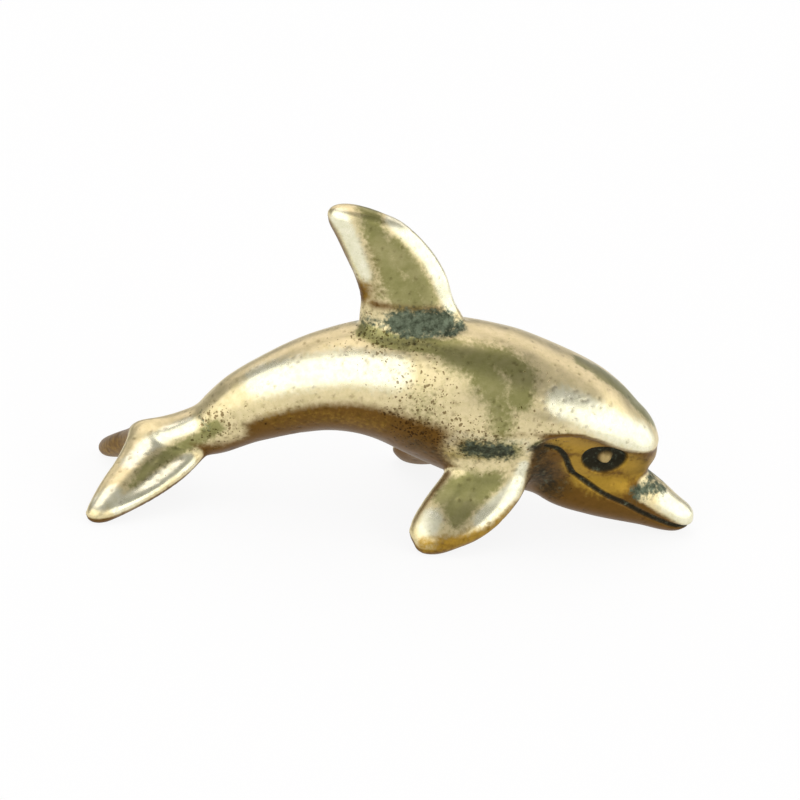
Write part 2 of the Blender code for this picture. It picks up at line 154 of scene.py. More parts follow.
# Painted dark reflection in khaki, which stands in for the dark gaps between the windows that the brass
# mirrors: on the shoulder and flank, along the top of the head, on the pectoral and dorsal fins and on the
# fluke
OLIVE_PAINTED_REFLECTION = (
    (0.75, 1.7, DORSAL_ROOT),
    (1.7, 1.0, ((3.0, -3.3, 16.0), (5.2, -4.0, 15.3), (6.4, -5.0, 13.8))),
    (1.5, 0.8, ((6.4, -5.0, 13.8), (7.1, -5.6, 12.2), (7.6, -5.8, 10.4))),
    (2.2, 0.4, ((0.8, -5.1, 12.2), (1.2, -5.0, 10.4))),
    (1.4, 1.0, ((5.2, -5.6, 8.7), (8.4, -5.6, 8.8))),
    (1.2, 0.9, ((7.5, -5.7, 10.6), (7.4, -5.7, 9.0))),
    (1.4, 1.0, ((5.0, -3.3, 16.0), (7.2, -3.4, 15.7), (8.8, -4.1, 14.7), (8.6, -5.2, 13.2))),
    (0.8, 1.1, ((13.9, -0.3, 14.6), (14.9, -0.3, 14.2))),
    (1.1, 1.4, ((15.6, -0.3, 13.9), (16.6, -0.2, 13.3), (18.5, -0.2, 11.9), (19.9, -0.3, 10.6))),
    (0.7, 1.2, ((19.9, -0.3, 10.6), (20.4, -0.4, 9.9))),
    (1.2, 1.1, ((7.4, -5.3, 5.6), (6.1, -5.4, 5.0), (5.2, -5.8, 4.4), (4.4, -6.6, 3.5))),
    (1.0, 1.0, ((6.9, -5.7, 4.9), (5.9, -6.3, 3.9), (4.6, -7.0, 2.9))),
    (1.1, 1.0, ((5.6, -5.3, 5.5), (4.4, -5.5, 4.9), (3.5, -6.0, 4.2))),
    (0.5, 0.8, ((10.3, -5.4, 9.2), (11.3, -5.3, 10.4), (12.7, -5.2, 10.8))),
    (1.3, 1.0, ((-4.9, -0.3, 26.2), (-4.3, -1.1, 24.6), (-3.4, -1.2, 22.8), (-2.2, -1.3, 20.6),
                (-1.4, -1.5, 19.2))),
    (1.2, 1.0, ((-2.6, -1.1, 23.8), (-0.8, -1.2, 21.6), (0.8, -1.3, 19.6))),
    (0.9, 1.0, ((-1.2, -1.3, 20.6), (-0.2, -1.5, 18.8))),
    (0.9, 0.5, ((-4.5, -1.0, 22.4), (-3.2, -1.3, 19.4))),
    (0.85, 1.0, ((-15.4, -2.2, 6.9), (-16.9, -2.0, 5.5), (-18.8, -2.5, 4.2), (-20.4, -3.7, 3.5),
                 (-21.4, -5.5, 2.3))),
)
# Painted shade beside that of the underside: on the pectoral fin's rim and across the dorsal fin's foot
BROWN_PAINTED_SHADE = (
    (0.75, 1.0, ((3.6, -8.4, 1.1), (5.9, -8.0, 1.4), (8.3, -6.8, 2.4), (9.9, -5.6, 3.8))),
    (0.55, 0.8, ((-3.9, -1.2, 18.6), (-0.5, -1.4, 18.6), (2.2, -1.2, 18.7))),
)
# Painted warm reflection on the shaded face, then on the pectoral fin's rim, the belly's edge and the dorsal
# fin's foot
OCHRE_FACE_REFLECTION = (
    (1.3, 1.0, ((12.3, -5.3, 9.9), (13.7, -4.8, 9.3), (15.4, -4.5, 8.6))),
    (1.2, 1.0, ((13.9, -4.0, 7.2), (14.9, -2.9, 5.6), (16.6, -2.8, 5.0), (18.3, -2.6, 5.0))),
    (1.4, 1.0, ((18.2, -3.2, 7.6), (19.8, -1.9, 6.2), (20.3, -1.0, 7.4))),
)
OCHRE_RIM_REFLECTIONS = (
    (1.0, 0.75, ((2.2, -8.4, 1.0), (5.0, -8.0, 1.3), (7.6, -7.0, 2.0), (9.6, -5.8, 3.4))),
    (1.6, 0.35, ((-11.0, -2.4, 8.6), (-6.0, -3.2, 9.6), (-2.0, -3.9, 9.4))),
    (0.8, 0.4, ((-4.9, -0.6, 20.6), (-4.2, -0.9, 18.9))),
)
# Dark patina in the corners at the roots of the fins, the beak and the fluke
DARK_PATINA = (
    (1.3, 1.0, ((-1.6, -1.7, 17.4), (0.4, -1.7, 17.6), (2.2, -1.5, 17.7))),
    (0.8, 0.5, ((-4.6, -0.8, 17.0), (-3.6, -1.5, 17.2), (-1.6, -2.0, 17.2))),
    (0.6, 0.8, ((-1.0, -2.2, 16.7), (2.8, -1.8, 16.9), (3.7, -0.9, 17.3))),
    (1.1, 0.75, ((5.3, -5.5, 8.5), (8.1, -5.4, 8.5))),
    (0.9, 0.72, ((19.8, -2.3, 4.3), (20.8, -1.7, 4.45), (21.5, -1.2, 4.5), (22.0, -0.8, 4.3))),
    (0.7, 0.7, ((21.0, -1.0, 5.0), (21.2, 0.0, 5.1))),
    (0.45, 0.4, ((-16.6, -1.0, 7.6), (-16.0, -2.0, 6.7))),
)
# Blackening rubbed into the corners, and painted shade behind the cheek, along the fins' roots and on the
# belly
SOOT_AND_PAINTED_SHADE = (
    (0.5, 0.4, DORSAL_ROOT),
    (1.0, 0.8, ((11.0, -5.3, 8.4), (11.2, -4.9, 6.8))),
    (1.7, 0.72, ((11.3, -4.0, 6.4), (12.0, -2.9, 5.0), (12.5, -2.5, 4.4))),
    (0.7, 0.9, ((10.4, -5.4, 9.0), (11.9, -5.4, 9.0))),
    (1.2, 0.62, ((5.0, -5.5, 8.3), (8.4, -5.4, 8.4))),
    (1.4, 0.4, ((0.6, -4.2, 8.0), (2.4, -4.6, 7.4), (3.6, -4.6, 7.1))),
    (1.2, 0.5, ((11.8, -2.9, 5.2), (13.4, -2.7, 4.6))),
)
# Painted highlights: paler brass on the high spots, where the brass shines brightest
PAINTED_HIGHLIGHTS = (
    (1.7, 1.0, ((12.1, -4.9, 13.1), (13.6, -4.8, 12.6), (15.4, -4.7, 11.8), (17.2, -4.3, 10.8),
                (19.6, -2.9, 9.6))),
    (1.9, 0.9, ((-12.2, -2.0, 11.4), (-9.1, -2.7, 12.7), (-5.2, -3.4, 13.9), (-1.6, -4.1, 14.0))),
    (1.0, 1.0, ((-7.3, -0.9, 25.6), (-6.5, -1.0, 24.4), (-5.8, -1.0, 23.0), (-4.9, -0.9, 21.0))),
    (0.9, 1.0, ((-2.9, -0.4, 25.6), (-1.4, -0.6, 24.5), (0.4, -0.6, 22.9), (1.9, -0.7, 20.2),
                (2.6, -0.7, 18.9))),
    (0.9, 1.0, ((10.0, -4.7, 7.0), (9.7, -4.9, 5.6), (8.9, -5.5, 4.8), (7.7, -6.3, 3.8), (6.7, -7.0, 2.9))),
    (1.1, 1.0, ((2.6, -7.2, 2.8), (2.4, -7.6, 2.2))),
    (0.8, 1.0, ((-17.3, -2.6, 3.8), (-19.1, -3.9, 3.1), (-20.3, -5.0, 2.5), (-21.8, -6.3, 1.7),
                (-22.9, -6.9, 1.4))),
    (1.1, 0.9, ((-23.3, -6.2, 2.1), (-24.2, -6.9, 1.6))),
    (0.9, 0.9, ((-17.4, -1.5, 6.6), (-19.0, -1.5, 5.8), (-20.6, -2.0, 4.8), (-22.1, -3.5, 3.7))),
    (1.3, 1.0, ((22.4, -1.2, 3.2), (23.4, -1.0, 2.5), (24.4, -0.8, 1.8))),
    (0.9, 0.4, ((3.4, -5.4, 8.8), (4.0, -5.7, 9.6), (9.6, -5.7, 9.6), (10.0, -5.2, 8.6))),
    (0.5, 0.6, ((4.4, -5.5, 7.0), (8.0, -5.5, 6.9))),
)
# Where the painted shade of the underside is left off, without a painted highlight
SHADE_LIFTED = (
    (1.5, 1.0, ((4.2, -5.4, 7.4), (6.5, -5.6, 7.6), (9.3, -5.4, 7.7))),
    (1.1, 0.8, ((-16.2, -2.0, 6.0), (-14.8, -2.2, 6.2), (-13.6, -2.2, 6.8))),
    (1.1, 1.0, ((8.4, -5.6, 9.0), (10.0, -5.4, 9.6))),
)
# Painted shade along the left fluke, whose underside shows beyond the right fluke
LEFT_FLUKE_PAINTED_SHADE = ((-22.4, 0.8, 3.4), (-23.1, 2.4, 2.7), (-23.9, 4.6, 1.2))

# Where the casting pits gather, each with its reach and weight: the side, the shoulder, the tail stock, the
# dorsal fin's root, the head and the jaw. They lie everywhere else more thinly.
PITTING = (
    ((0.8, -5.1, 12.0), 3.2, 1.2),
    ((1.0, -4.9, 9.4), 2.6, 1.2),
    ((5.5, -5.6, 9.0), 2.8, 1.0),
    ((10.3, -5.3, 10.0), 2.3, 0.8),
    ((-15.5, -2.0, 6.8), 2.4, 1.2),
    ((-10.0, -2.8, 8.0), 3.5, 0.5),
    ((-4.5, -1.5, 15.8), 3.0, 0.9),
    ((0.0, -2.0, 16.8), 3.0, 0.8),
    ((12.0, -4.5, 12.5), 2.5, 0.5),
    ((9.5, -4.0, 14.5), 2.0, 0.5),
    ((-20.0, -3.0, 3.5), 3.0, 0.4),
    ((13.0, -4.0, 6.0), 3.0, 0.6),
)
EVEN_PITTING = 0.16

# Height of the brow over the face, and of the edge between the beak's bright top and its side
BROW = ((9.0, 7.8), (10.1, 8.8), (11.4, 10.0), (12.7, 10.35), (14.0, 10.4), (15.6, 9.9), (17.9, 8.75),
        (20.6, 8.3))
BEAK_EDGE = ((19.0, 4.2), (20.6, 3.1), (22.0, 2.25), (23.4, 1.45), (25.3, 0.4))

RING_POINTS = 128
RINGS_PER_STATION = 12
DOME_RINGS = 16
# How square the cross sections are, where 2 is an ellipse
BODY_POWER, BEAK_POWER, BLADE_POWER = 2.1, 2.3, 2.1
# How far the end domes have drawn in where they start, in degrees
FOREHEAD_TAPER, BEAK_TAPER, BLADE_TAPER = 24, 22, 42
# Where each piece grows from the body, as a share of the body's length from the tail
DORSAL_PLACE, PECTORAL_PLACE, BEAK_PLACE, EYE_PLACE = 0.528, 0.6, 0.82, 0.948
# The eye's middle ahead of that place and over the body's middle line, and its tilt in degrees
EYE_AHEAD, EYE_RISE, EYE_TILT = 0.33, 0.56, -21
# The cheek has drawn in fully at this share of the body's lower half
CHEEK_DROP = 0.15
# The dome on the tail stock's end, the beak's root inside the head, the droop of the beak's tip, and the
# notch between the flukes behind the tail end, in millimetres
TAIL_DOME, BEAK_ROOT_DOME, BEAK_DROOP, NOTCH_BEHIND = 0.8, 1, 0.2, 0.7
# Valleys on the outward faces of the blades: depth in thicknesses, then place and reach in half chords, and
# how fast they fade out towards the tips
NO_VALLEY = (0.0, 0.0, 1.0)
PECTORAL_VALLEY = (0.17, 0.05, 0.45)
FLUKE_VALLEY = (0.24, 0.32, 0.36)
VALLEY_FADE = 2.2
# Height of the middle of the tips over the table before filing, in thicknesses
PECTORAL_FOOT, FLUKE_FOOT = 0.12, 0.3

# Steps between two points of the mouth line, and round the beak's tip
MOUTH_STEPS, MOUTH_TURNS = 6, 10
# Half the groove's width at the skin and its depth, in groove radii, and the eye's height in eye radii
GROOVE_MOUTH, GROOVE_DEPTH, BEAD_RISE = 1.35, 1.15, 0.95
# How far the skin is made finer round the groove and the sockets, in their own radius and height
GROOVE_FINE, SOCKET_FINE = 2.6, 0.8
# How fast a worked line fades, how many passes bring out the hollows of the skin, and how fully and with
# how many last passes the roots are filled
LINE_FADE, HOLLOW_PASSES, ROOT_FILL, ROOT_PASSES = 1.2, 60, 1.3, 4

# Darkest shade of the mottling all over the brass
MOTTLED_SHADE = (0.8, 0.81, 0.72)

# What the camera looks at, in millimetres, and its pixels to the millimetre in a picture of 800 pixels
LOOKED_AT = (-0.45, -0.57, 9.75)
PIXELS_PER_MM, PICTURE_WIDTH = 12.2, 800
# The floor's paint, the share of it that glows white to the eye, and the light of the room
FLOOR_PAINT, WHITE_GLOW, ROOM_LIGHT = (0.9, 0.9, 0.9, 1), 0.88, (0.38, 0.38, 0.38, 1)
# Soft windows: azimuth, elevation and the width and height that they span, in degrees, then brightness and
# colour. The distance is in metres.
WINDOWS = {
    "left_window": (-132, 26, (80, 62), 1.3, (1, 1, 0.99)),
    "right_window": (-16, 20, (94, 50), 1.3, (1, 1, 0.99)),
    "back_window": (85, 36, (90, 32), 0.87, (1, 0.93, 0.94)),
    "top_window": (125, 74, (50, 40), 1.3, (1, 0.94, 0.95)),
}
WINDOW_DISTANCE = 0.9


def length(name, description, millimetres, least=0.0):
    return bpy.props.FloatProperty(
        name=name, description=description, default=millimetres, min=least, subtype="DISTANCE_CAMERA"
    )


def brass_colour(name, description, rgb):
    return bpy.props.FloatVectorProperty(
        name=name, description=description, default=rgb, subtype="COLOR", size=3, min=0, max=1
    )


def camera_angle(name, description, degrees):
    return bpy.props.FloatProperty(
        name=name, description=description, default=math.radians(degrees), subtype="ANGLE"
    )


class DolphinShape(bpy.types.PropertyGroup):
    """Sizes of the casting, in millimetres."""

    tail_end_x: length("Tail end", "Where the tail stock ends, along X", -21.3, least=-100.0)
    body_length: length("Body length", "Tail stock to forehead, along X", 39.8)
    arch_height: length("Arch height", "Height of the body's middle line at the top of the arch", 11.7)
    body_depth: length("Body depth", "Greatest depth of the body", 13.2)
    body_width: length("Body width", "Greatest width of the body", 11.6)
    forehead_bulge: length("Forehead bulge", "How far the forehead's dome stands out", 2.85)
    beak_length: length("Beak length", "Root to tip, before the tip's dome", 13.0)
    beak_depth: length("Beak depth", "Depth of the beak and jaw", 6.0)
    beak_width: length("Beak width", "Width of the beak and jaw", 5.8)
    beak_tip_bulge: length("Beak tip", "How far the tip's dome stands out", 1.2)
    dorsal_height: length("Dorsal height", "Back to tip", 9.4)
    dorsal_chord: length("Dorsal chord", "Front to back at the root", 8.4)
    dorsal_thickness: length("Dorsal thickness", "Thickness near the root", 3.0)
    right_pectoral_stance: length("Right pectoral stance", "Middle line to the right pectoral's tip", 8.3)
    left_pectoral_stance: length("Left pectoral stance", "Middle line to the left pectoral's tip", 9.5)
    left_pectoral_setback: length(
        "Left pectoral setback", "How far the left pectoral sits behind the right", 0.7
    )
    pectoral_chord: length("Pectoral chord", "Front to back of a pectoral fin", 7.0)
    pectoral_thickness: length("Pectoral thickness", "Thickness near the root", 2.9)
    right_fluke_stance: length("Right fluke stance", "Middle line to the right fluke's tip", 7.3)
    right_fluke_chord: length("Right fluke chord", "Front to back of the right fluke", 6.7)
    left_fluke_stance: length("Left fluke stance", "Middle line to the left fluke's tip", 5.5)
    left_fluke_chord: length("Left fluke chord", "Front to back of the left fluke", 5.1)
    fluke_thickness: length("Fluke thickness", "Thickness near the root", 2.2)
    filed_off: length("Filed off", "How far the feet are filed down to stand flat", 0.2)
    skin_grain: length("Skin grain", "How finely the skins are melted together", 0.19)
    fillet_radius: length("Fillet", "How soft the fillets between the skins are", 0.49)
    root_fillet: length("Root fillet", "How far the corners at the fins' roots are filled", 2.5)
    brow_step: length("Brow step", "How far the face lies back under the brow", 0.16)
    groove_radius: length("Mouth groove", "Half the width of the mouth groove", 0.18)
    socket_length: length("Eye socket length", "Corner to corner", 4.0)
    socket_height: length("Eye socket height", "Lid to lid", 3.3)
    socket_depth: length("Eye socket depth", "Depth of the hollow", 0.55)
    bead_radius: length("Eye bead", "Radius of the eye in its socket", 0.7)
    bead_ahead: length("Eye bead ahead", "How far the eye lies ahead of its socket's middle", 0.12)


class DolphinFinish(bpy.types.PropertyGroup):
    """The hand finish and the colours of the brass, with its painted highlights, painted reflections and
    painted shade.
    """

    ripple_depth: length("Ripple depth", "How deep the file and polish ripples are", 0.045)
    ripple_size: length("Ripple size", "How wide the ripples are", 4.0)
    pit_count: bpy.props.IntProperty(name="Pits", description="Number of casting pits", default=1500, min=0)
    pit_radius: length("Pit radius", "Radius of a casting pit", 0.22)
    pit_depth: length("Pit depth", "Depth of a casting pit", 0.02)
    seed: bpy.props.IntProperty(name="Seed", description="Places the pits", default=7)
    brass: brass_colour("Brass", "Handled brass", (0.82, 0.69, 0.41))
    # Paler brass of the painted highlights
    painted_highlight: brass_colour("Highlight brass", "Painted highlight on the high spots", (0.93, 0.89, 0.69))
    bead: brass_colour("Eye brass", "Dull brass of the eyes", (0.52, 0.39, 0.18))
    # Warm tone of the painted reflection in the shade of the face, the rims and the left fluke
    painted_warm_reflection: brass_colour("Warm reflection brass", "Painted warm reflection on the face", (0.41, 0.245, 0.037))
    # Dark khaki of the painted reflection
    painted_dark_reflection: brass_colour("Dark reflection brass", "Brass with painted dark reflection", (0.315, 0.295, 0.12))
    # Dark tone of the painted shade on downward faces, on the face under the brow and along the left fluke
    painted_shade: brass_colour("Shade brass", "Brass darkened as painted shade", (0.155, 0.077, 0.016))
    patina: brass_colour("Patina", "Dark patina of the recesses", (0.11, 0.13, 0.09))
    # Blackening of the mouth and the eye sockets, and the colour of the painted shade behind the cheek and
    # along the roots
    soot_and_painted_shade: brass_colour("Soot", "Blackening of the mouth and the eye sockets, and painted shade", (0.032, 0.028, 0.018))
    dirt: brass_colour("Dirt", "How dirt darkens the casting pits", (0.3, 0.25, 0.19))


class DolphinStage(bpy.types.PropertyGroup):
    """The floor, the lamps and the camera."""

    floor_size: bpy.props.FloatProperty(
        name="Floor size", description="Side of the square floor", default=4.0, min=0.2, subtype="DISTANCE"
    )
    camera_turn: camera_angle("Camera turn", "Azimuth of the camera", -6)
    camera_rise: camera_angle("Camera rise", "Elevation of the camera", 25)
    camera_roll: camera_angle("Camera roll", "Tilt of the picture", 7.5)
    camera_distance: bpy.props.FloatProperty(
        name="Camera distance", description="Camera to figurine", default=0.3, min=0.05, subtype="DISTANCE"
    )


def catmull_rom(rows, t):
    """The rows' smooth curve at t, where row k is passed at t = k."""
    last = len(rows) - 1
    i = min(int(t), last - 1)
    f = t - i
    a, b, c, d = (rows[min(max(k, 0), last)] for k in (i - 1, i, i + 1, i + 2))
    return [
        0.5 * (2 * q + (r - p) * f + (2 * p - 5 * q + 4 * r - s) * f**2 + (3 * q - p - 3 * r + s) * f**3)
        for p, q, r, s in zip(a, b, c, d)
    ]


def filled_in(rows):
    """The rows with the rings between them."""
    steps = (len(rows) - 1) * RINGS_PER_STATION
    return [catmull_rom(rows, k / RINGS_PER_STATION) for k in range(steps + 1)]


def power_curve(angle, power):
    """Across and up on a rounded cross section, from -1 to 1."""
    c, s = math.cos(angle), math.sin(angle)
    return math.copysign(abs(c) ** (2 / power), c), math.copysign(abs(s) ** (2 / power), s)


def ring_angles():
    return [2 * math.pi * k / RING_POINTS for k in range(RING_POINTS)]


def domed_end(ring, outwards, taper):
    """The rings of the dome that closes a skin, and its pole."""
    centre = sum(ring, Vector()) / len(ring)
    rings = []
    for k in range(1, DOME_RINGS):
        turn = taper + (0.5 * math.pi - taper) * k / DOME_RINGS
        moved = centre + outwards * (math.sin(turn) - math.sin(taper)) / (1 - math.sin(taper))
        rings.append([moved + (p - centre) * math.cos(turn) / math.cos(taper) for p in ring])
    return rings, centre + outwards


def loft(skin, rings, start_dome, end_dome, end_taper):
    """Adds a closed skin through the rings, with a dome on each end."""
    first_rings, first_pole = domed_end(rings[0], start_dome, 0.0)
    last_rings, last_pole = domed_end(rings[-1], end_dome, end_taper)
    rings = first_rings[::-1] + rings + last_rings
    faces = []
    loops = [[skin.verts.new(p) for p in ring] for ring in rings]
    for one, two in zip(loops, loops[1:]):
        for k in range(RING_POINTS):
            after = (k + 1) % RING_POINTS
            faces.append(skin.faces.new((one[k], one[after], two[after], two[k])))
    for pole, loop in ((first_pole, loops[0]), (last_pole, loops[-1])):
        tip = skin.verts.new(pole)
        for k in range(RING_POINTS):
            faces.append(skin.faces.new((tip, loop[k], loop[(k + 1) % RING_POINTS])))
    bmesh.ops.recalc_face_normals(skin, faces=faces)


def body_rows(shape):
    """X, height, half depth, half width and the section's curves, for each ring of the body."""
    return filled_in(
        [
            (
                shape.tail_end_x + shape.body_length * along,
                shape.arch_height * rise,
                shape.body_depth * depth / 2,
                shape.body_width * width / 2,
                widest,
                power,
                cheek,
            )
            for along, rise, depth, width, widest, power, cheek in BODY_STATIONS
        ]
    )


def body_at(shape, share):
    """The body's row at that share of its length."""
    x = shape.tail_end_x + shape.body_length * share
    return min(body_rows(shape), key=lambda row: abs(row[0] - x))


def along_path(rows, k):
    """Which way the middle line runs at row k."""
    a, b = rows[max(k - 1, 0)], rows[min(k + 1, len(rows) - 1)]
    return Vector((b[0] - a[0], 0, b[1] - a[1])).normalized()


def add_body(skin, shape):
    rows = body_rows(shape)
    rings = []
    for k, (x, z, half_depth, half_width, widest, lower_power, cheek) in enumerate(rows):
        forward = along_path(rows, k)
        upward = Vector((-forward.z, 0, forward.x))
        ring = []
        for angle in ring_angles():
            side, rise = power_curve(angle, BODY_POWER if angle <= math.pi else lower_power)
            reach = half_depth * (1 - widest if rise > 0 else 1 + widest)
            side *= 1 - cheek * min(1.0, max(0.0, -rise) / CHEEK_DROP)
            ring.append(
                Vector((x, 0, z))
                + upward * (half_depth * widest + rise * reach)
                + Vector((0, half_width * side, 0))
            )
        rings.append(ring)
    tail_out = -along_path(rows, 0) * TAIL_DOME
    head_out = along_path(rows, len(rows) - 1) * shape.forehead_bulge
    loft(skin, rings, tail_out, head_out, math.radians(FOREHEAD_TAPER))


def beak_root_x(shape):
    return shape.tail_end_x + shape.body_length * BEAK_PLACE


def beak_tip_x(shape):
    return beak_root_x(shape) + shape.beak_length + shape.beak_tip_bulge


def add_beak(skin, shape):
    rows = filled_in(
        [
            (
                beak_root_x(shape) + shape.beak_length * along,
                shape.beak_depth * rise,
                shape.beak_depth * depth / 2,
                shape.beak_width * width / 2,
            )
            for along, rise, depth, width in BEAK_STATIONS
        ]
    )
    rings = []
    for k, (x, z, half_depth, half_width) in enumerate(rows):
        forward = along_path(rows, k)
        upward = Vector((-forward.z, 0, forward.x))
        rings.append(
            [
                Vector((x, half_width * side, z)) + upward * half_depth * rise
                for side, rise in (power_curve(angle, BEAK_POWER) for angle in ring_angles())
            ]
        )
    root_out = Vector((-BEAK_ROOT_DOME, 0, 0))
    tip_out = Vector((shape.beak_tip_bulge, 0, -BEAK_DROOP))
    loft(skin, rings, root_out, tip_out, math.radians(BEAK_TAPER))


def add_blade(skin, base, chord, span, outwards, stations, thickness, valley=NO_VALLEY):
    """Adds a fin or a fluke with a valley on its outward face, which fades out towards the tip."""
    hollow, valley_place, valley_reach = valley
    rows = filled_in(stations)
    rings = []
    for k, (lead_u, lead_v, trail_u, trail_v, share) in enumerate(rows):
        lead = base + chord * lead_u + span * lead_v
        trail = base + chord * trail_u + span * trail_v
        centre, half_chord = (lead + trail) / 2, (lead - trail) / 2
        fade = min(1.0, VALLEY_FADE * (1 - k / (len(rows) - 1)))
        ring = []
        for angle in ring_angles():
            along, rise = power_curve(angle, BLADE_POWER)
            sunk = 0
            if rise > 0:
                sunk = hollow * fade * math.exp(-(((along - valley_place) / valley_reach) ** 2))
            reach = rise * thickness * share / 2 - sunk * thickness
            ring.append(centre + half_chord * along + outwards * reach)
        rings.append(ring)
    tip_out = (sum(rings[-1], Vector()) - sum(rings[-3], Vector())).normalized()
    root_out = (sum(rings[0], Vector()) - sum(rings[2], Vector())).normalized()
    tip_bulge = tip_out * thickness * stations[-1][-1] / 2
    loft(skin, rings, root_out * thickness / 4, tip_bulge, math.radians(BLADE_TAPER))


def add_fins(skin, shape):
    """Adds the dorsal fin, then a pectoral fin and a fluke on the right and on the left."""
    x, z, half_depth = body_at(shape, DORSAL_PLACE)[:3]
    add_blade(
        skin,
        Vector((x, 0, z + half_depth)),
        Vector((shape.dorsal_chord, 0, 0)),
        Vector((0, 0, shape.dorsal_height)),
        Vector((0, -1, 0)),
        DORSAL_STATIONS,
        shape.dorsal_thickness,
    )
    tail_x, tail_z = body_at(shape, 0)[:2]
    shoulder_z = body_at(shape, PECTORAL_PLACE + shape.pectoral_chord / shape.body_length)[1]
    for side in (-1, 1):
        tip_x, stance = body_at(shape, PECTORAL_PLACE)[0], shape.right_pectoral_stance
        if side > 0:
            tip_x, stance = tip_x - shape.left_pectoral_setback, shape.left_pectoral_stance
        thickness = shape.pectoral_thickness
        tip = Vector((tip_x, side * stance, thickness * PECTORAL_FOOT - shape.filed_off))
        span = Vector((0, -side * stance, shoulder_z - tip.z))
        outwards = Vector((0, side * span.z, -side * span.y)).normalized()
        chord = Vector((shape.pectoral_chord, 0, 0))
        add_blade(skin, tip, chord, span, outwards, PECTORAL_STATIONS, thickness, PECTORAL_VALLEY)
        stance, fluke_chord = shape.right_fluke_stance, shape.right_fluke_chord
        if side > 0:
            stance, fluke_chord = shape.left_fluke_stance, shape.left_fluke_chord
        thickness = shape.fluke_thickness
        notch = Vector((tail_x - NOTCH_BEHIND, 0, tail_z))
        span = Vector((0, side * stance, thickness * FLUKE_FOOT - shape.filed_off - tail_z))
        outwards = Vector((0, -side * span.z, side * span.y)).normalized()
        chord = Vector((fluke_chord, 0, 0))
        add_blade(skin, notch, chord, span, outwards, FLUKE_STATIONS, thickness, FLUKE_VALLEY)


def new_object(name, content):
    made = bpy.data.objects.new(name, content)
    bpy.context.scene.collection.objects.link(made)
    return made


def apply_modifiers(target):
    """Keeps the shape that the modifiers give, as the object's own mesh."""
    bpy.context.view_layer.update()
    shown = target.evaluated_get(bpy.context.evaluated_depsgraph_get())
    mesh = bpy.data.meshes.new_from_object(shown)
    target.modifiers.clear()
    target.data = mesh


def smoothed(co, edges, passes):
    """Each point drawn halfway to the middle of its neighbours, so many times."""
    count = len(co)
    ends = np.concatenate([edges[:, 0], edges[:, 1]])
    others = np.concatenate([edges[:, 1], edges[:, 0]])
    degree = np.maximum(np.bincount(ends, minlength=count), 1)
    for _ in range(passes):
        mean = np.stack([np.bincount(ends, co[others, k], minlength=count) / degree for k in range(3)], 1)
        co = co + (mean - co) * 0.5
    return co


def passes_over(reach, shape):
    """How many passes smooth the skin over that reach."""
    return round(2 * (reach / shape.skin_grain) ** 2)


def mesh_arrays(mesh):
    """Places and normals of the points, and the edges between them."""
    co = np.empty(len(mesh.vertices) * 3, np.float32)
    mesh.vertices.foreach_get("co", co)
    normals = np.empty(len(mesh.vertices) * 3, np.float32)
    mesh.vertices.foreach_get("normal", normals)
    edges = np.empty(len(mesh.edges) * 2, np.int32)
    mesh.edges.foreach_get("vertices", edges)
    return co.reshape(-1, 3).astype(float), normals.reshape(-1, 3).astype(float), edges.reshape(-1, 2)


def set_coordinates(mesh, co):
    mesh.vertices.foreach_set("co", co.astype(np.float32).ravel())
    mesh.update()


def smoothstep(low, high, x):
    t = np.clip((x - low) / (high - low), 0, 1)
    return t * t * (3 - 2 * t)


def near_line(co, line):
    """Distance from each point to the broken line."""
    best = np.full(len(co), 1e9)
    for a, b in zip(line, line[1:]):
        a, b = np.array(a, float), np.array(b, float)
        along = np.clip(((co - a) @ (b - a)) / max((b - a) @ (b - a), 1e-9), 0, 1)
        best = np.minimum(best, np.linalg.norm(co - a - along[:, None] * (b - a), axis=1))
    return best


def mouth_points(surface, shape):
    """Points on the skin along the mouth, from the right corner round the beak to the left corner."""
    tip_x = beak_tip_x(shape)
    steps = (len(MOUTH_LINE) - 1) * MOUTH_STEPS
    right = []
    for k in range(steps + 1):
        behind, rise = catmull_rom(MOUTH_LINE, k / MOUTH_STEPS)
        start = Vector((tip_x - behind, -shape.body_width * 2, rise))
        right.append(surface.ray_cast(start, Vector((0, 1, 0)))[0])
    behind, rise = MOUTH_LINE[-1]
    for k in range(1, MOUTH_TURNS):
        turn = 0.5 * math.pi * k / MOUTH_TURNS
        inwards = Vector((-math.sin(turn), math.cos(turn), 0))
        height = rise + (MOUTH_TIP_HEIGHT - rise) * math.sin(turn)
        start = Vector((tip_x - behind, 0, height)) - inwards * shape.body_width
        right.append(surface.ray_cast(start, inwards)[0])
    right = [p for p in right if p is not None]
    left = [Vector((p.x, -p.y, p.z)) for p in reversed(right)]
    return right + left


def eye_frame(surface, shape, side):
    """The eye's centre on the skin, with its directions along, across and out."""
    x = shape.tail_end_x + shape.body_length * EYE_PLACE + EYE_AHEAD
    z = body_at(shape, EYE_PLACE)[1] + EYE_RISE
    point, normal, _, _ = surface.ray_cast(
        Vector((x, side * shape.body_width * 2, z)), Vector((0, -side, 0))
    )
    outwards = normal.normalized()
    along = Vector((1, 0, math.tan(math.radians(EYE_TILT))))
    along = (along - outwards * along.dot(outwards)).normalized()
    return point, along, outwards.cross(along), outwards


def refine_near(mesh, lines, reach):
    """Cuts the faces near those lines into four."""
    fine = bmesh.new()
    fine.from_mesh(mesh)
    co = np.array([v.co for v in fine.verts])
    near = np.full(len(co), 1e9)
    for line in lines:
        near = np.minimum(near, near_line(co, line))
    fine.verts.ensure_lookup_table()
    edges = [e for e in fine.edges if near[e.verts[0].index] < reach and near[e.verts[1].index] < reach]
    bmesh.ops.subdivide_edges(fine, edges=edges, cuts=1, use_grid_fill=True)
    fine.to_mesh(mesh)
    fine.free()


def on_right_side(co):
    """Each point, or its mirror image where it lies on the left."""
    return np.stack([co[:, 0], -np.abs(co[:, 1]), co[:, 2]], 1)


